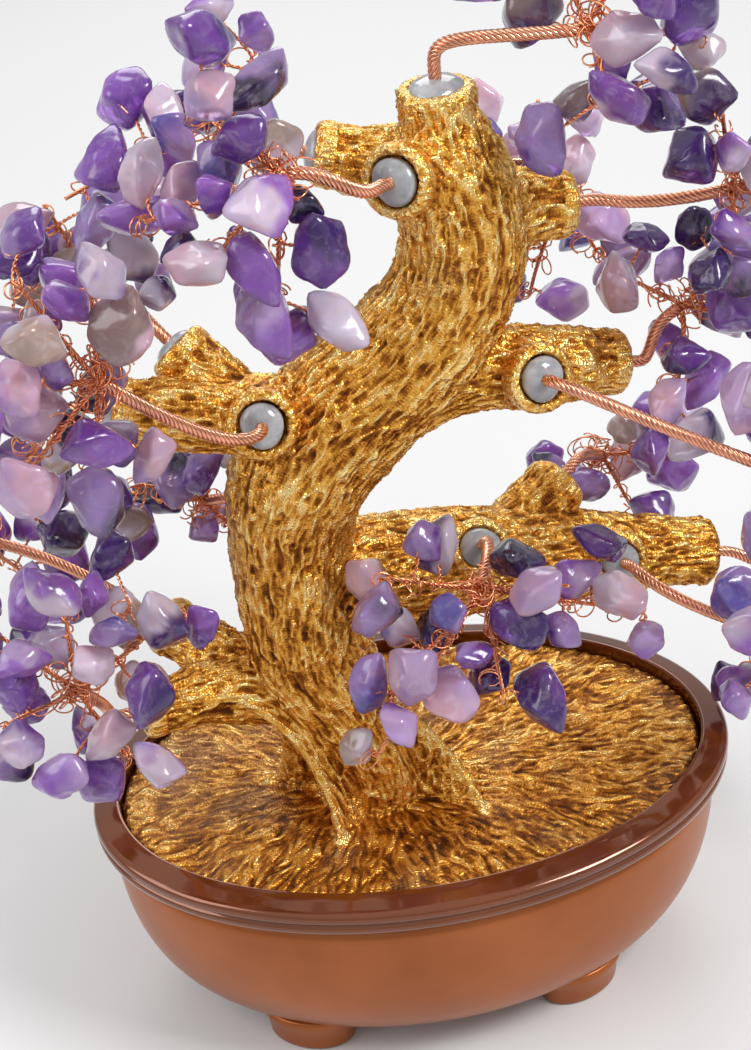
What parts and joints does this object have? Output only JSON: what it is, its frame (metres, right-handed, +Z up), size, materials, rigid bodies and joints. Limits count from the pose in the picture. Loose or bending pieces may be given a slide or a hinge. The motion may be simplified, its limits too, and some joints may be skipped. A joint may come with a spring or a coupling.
{
  "type": "gemstone tree ornament",
  "caption": "Bonsai ornament: a gold cast tree with bored stubs in an oval footed pot, each stub holding a twisted copper bough of tumbled violet stones.",
  "frame": {"origin": "on the table under the middle of the pot", "axes": "+X along the pot's long side, to the viewer's right, +Y away from the viewer, +Z up"},
  "size_m": [0.2049, 0.1031, 0.2294],
  "materials": {
    "pot_lacquer": "gloss copper-brown lacquer on cast resin",
    "gold_resin": "antique gold paint on cast resin, dark in the hollows",
    "glue": "clear cured glue, glossy",
    "copper": "bright twisted copper wire",
    "amethyst": "tumbled and polished"
  },
  "bodies": {
    "root": {"pot": "pot_lacquer", "tree_casting": "gold_resin", "glue_beads": "glue", "top_stem": "copper", "top_twigs": "copper", "top_chips": "amethyst", "upper_left_front_stem": "copper", "upper_left_front_twigs": "copper", "upper_left_front_chips": "amethyst", "upper_left_stem": "copper", "upper_left_twigs": "copper", "upper_left_chips": "amethyst", "upper_right_stem": "copper", "upper_right_twigs": "copper", "upper_right_chips": "amethyst", "upper_back_stem": "copper", "upper_back_twigs": "copper", "upper_back_chips": "amethyst", "middle_right_front_stem": "copper", "middle_right_front_twigs": "copper", "middle_right_front_chips": "amethyst", "middle_right_stem": "copper", "middle_right_twigs": "copper", "middle_right_chips": "amethyst", "middle_left_front_stem": "copper", "middle_left_front_twigs": "copper", "middle_left_front_chips": "amethyst", "middle_left_stem": "copper", "middle_left_twigs": "copper", "middle_left_chips": "amethyst", "middle_left_back_stem": "copper", "middle_left_back_twigs": "copper", "middle_left_back_chips": "amethyst", "lower_right_front_stem": "copper", "lower_right_front_twigs": "copper", "lower_right_front_chips": "amethyst", "lower_right_stem": "copper", "lower_right_twigs": "copper", "lower_right_chips": "amethyst", "lower_right_back_stem": "copper", "lower_right_back_twigs": "copper", "lower_right_back_chips": "amethyst", "lower_right_side_stem": "copper", "lower_right_side_twigs": "copper", "lower_right_side_chips": "amethyst", "lower_left_front_stem": "copper", "lower_left_front_twigs": "copper", "lower_left_front_chips": "amethyst", "lower_left_back_stem": "copper", "lower_left_back_twigs": "copper", "lower_left_back_chips": "amethyst", "lower_back_stem": "copper", "lower_back_twigs": "copper", "lower_back_chips": "amethyst"}
  },
  "joints": []
}
